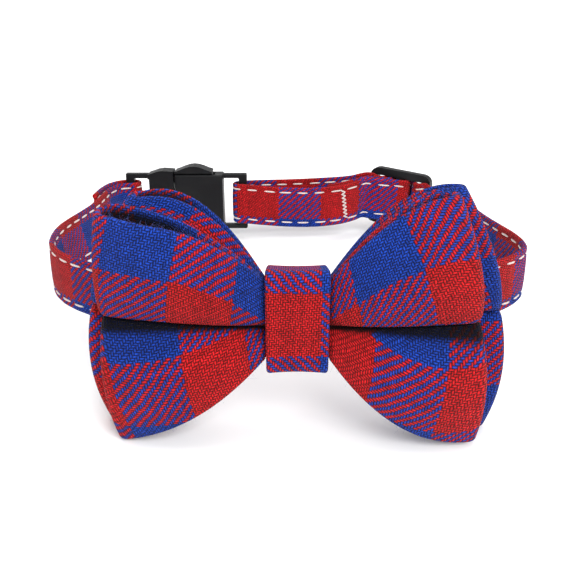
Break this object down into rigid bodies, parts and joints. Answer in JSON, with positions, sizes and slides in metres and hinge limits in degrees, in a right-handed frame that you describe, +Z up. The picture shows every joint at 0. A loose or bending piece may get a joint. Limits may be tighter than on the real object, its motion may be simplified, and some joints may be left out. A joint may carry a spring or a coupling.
{
  "type": "pet bow tie collar",
  "caption": "Plaid pet collar strap closed in a loop by a plastic breakaway buckle and a slide adjuster, carrying a layered cloth bow tie on a knot band.",
  "frame": {"origin": "under the middle of the whole collar, on the surface that it stands on", "axes": "+Z up, +X to the right as the bow is seen from its front, +Y from the bow towards the buckle"},
  "size_m": [0.0908, 0.0887, 0.0418],
  "materials": {
    "plaid_strap": "matte woven twill",
    "plaid_bow": "matte woven twill",
    "black_plastic": "satin moulded"
  },
  "bodies": {
    "root": {"strap": "plaid_strap", "bow_front": "plaid_bow", "bow_rear": "plaid_bow", "knot_band": "plaid_bow", "buckle_plug": "black_plastic", "buckle_socket": "black_plastic", "strap_slide": "black_plastic"}
  },
  "joints": []
}
